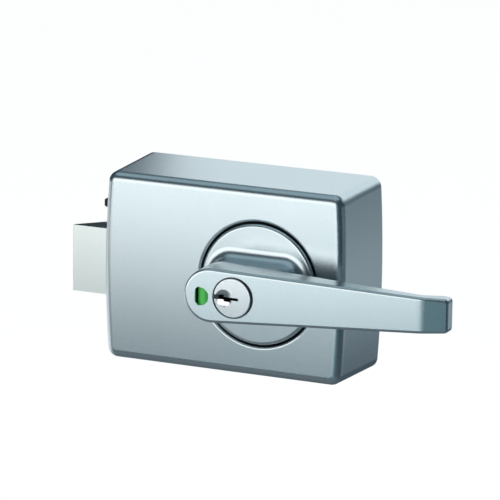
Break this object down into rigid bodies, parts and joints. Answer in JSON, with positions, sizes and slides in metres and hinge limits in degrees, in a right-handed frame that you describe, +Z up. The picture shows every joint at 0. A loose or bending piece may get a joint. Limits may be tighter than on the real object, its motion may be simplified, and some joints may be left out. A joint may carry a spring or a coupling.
{
  "type": "lever lockset",
  "caption": "Surface-mounted lever lockset: satin case with a bevelled latch bolt, a deadlocking plunger, a lever on a round disc, and a key cylinder with an indicator window in the lever.",
  "frame": {"origin": "on the lever's axis at the door's face, midway between the two tie-screw holes", "axes": "front faces -Y, the latch bolt points to -X, the lever's grip to +X, +Z is up"},
  "size_m": [0.1521, 0.0566, 0.07],
  "materials": {
    "cast_silver": "satin plated die casting",
    "plate_steel": "zinc plated",
    "screw_steel": "zinc plated",
    "spring_steel": "bright drawn",
    "brass": "machined",
    "plug_nickel": "nickel plated",
    "bolt_stainless": "brushed",
    "plunger_dark": "black oxide",
    "green_light": "moulded",
    "green_dark": "moulded"
  },
  "bodies": {
    "lock_case": {"case": "cast_silver", "mounting_plate": "plate_steel", "case_screws": "screw_steel", "chassis_plate": "plate_steel", "chassis_screws": "screw_steel", "lever_bearing": "plate_steel", "bearing_screws": "screw_steel", "lever_return_spring": "spring_steel", "guide_pin": "plate_steel", "bolt_spring": "spring_steel", "plunger_spring": "spring_steel", "detent_guide": "plate_steel"},
    "lever": {"lever_handle": "cast_silver", "hub_cam": "plate_steel", "hub_clip": "spring_steel", "cylinder_body": "brass", "cylinder_set_screw": "screw_steel", "driver_pins": "brass", "pin_springs": "spring_steel", "pin_cover": "brass", "indicator_carrier": "green_dark"},
    "plug_group": {"plug": "plug_nickel", "key_pins": "brass", "plug_tail_cam": "plate_steel", "tail_cam_screw": "screw_steel"},
    "drum": {"indicator_drum": "green_light"},
    "bolt": {"latch_bolt": "bolt_stainless", "bolt_tail": "plate_steel", "tail_rivets": "screw_steel"},
    "plunger": {"deadlock_plunger": "plunger_dark"},
    "detent": {"deadlock_detent": "plate_steel"},
    "follower": {"outside_follower": "plate_steel", "follower_clip": "spring_steel"}
  },
  "joints": [
    {"name": "lever_turn", "type": "hinge", "parent": "lock_case", "child": "lever", "pos_m": [0, -0.03, 0], "axis": [0, 1, 0], "range_deg": [0, 40], "stiffness_Nm_per_rad": 1, "springref_deg": -20.05},
    {"name": "bolt_slide", "type": "slide", "parent": "lock_case", "child": "bolt", "axis": [1, 0, 0], "range_m": [0, 0.0155], "deforming": ["bolt_spring"]},
    {"name": "plug_turn", "type": "hinge", "parent": "lever", "child": "plug_group", "pos_m": [0, -0.04, 0], "axis": [0, 1, 0], "range_deg": [0, 90]},
    {"name": "indicator_turn", "type": "hinge", "parent": "lever", "child": "drum", "pos_m": [-0.0115, -0.0524, 0], "axis": [0, 0, 1], "range_deg": [0, 90]},
    {"name": "plunger_slide", "type": "slide", "parent": "lock_case", "child": "plunger", "axis": [1, 0, 0], "range_m": [0, 0.0045], "stiffness_N_per_m": 300, "springref_m": -0.006, "deforming": ["plunger_spring"]},
    {"name": "detent_slide", "type": "slide", "parent": "lock_case", "child": "detent", "axis": [0, 0, -1], "range_m": [0, 0.00135]},
    {"name": "outside_follower_turn", "type": "hinge", "parent": "lock_case", "child": "follower", "pos_m": [0, 0, 0], "axis": [0, 1, 0], "range_deg": [0, 35]}
  ],
  "couplings": [
    {"joint": "bolt_slide", "follows": "lever_turn", "m_per_rad": 0.0222},
    {"joint": "indicator_turn", "follows": "plug_turn", "ratio": 1},
    {"joint": "detent_slide", "follows": "plunger_slide", "ratio": 0.3}
  ]
}
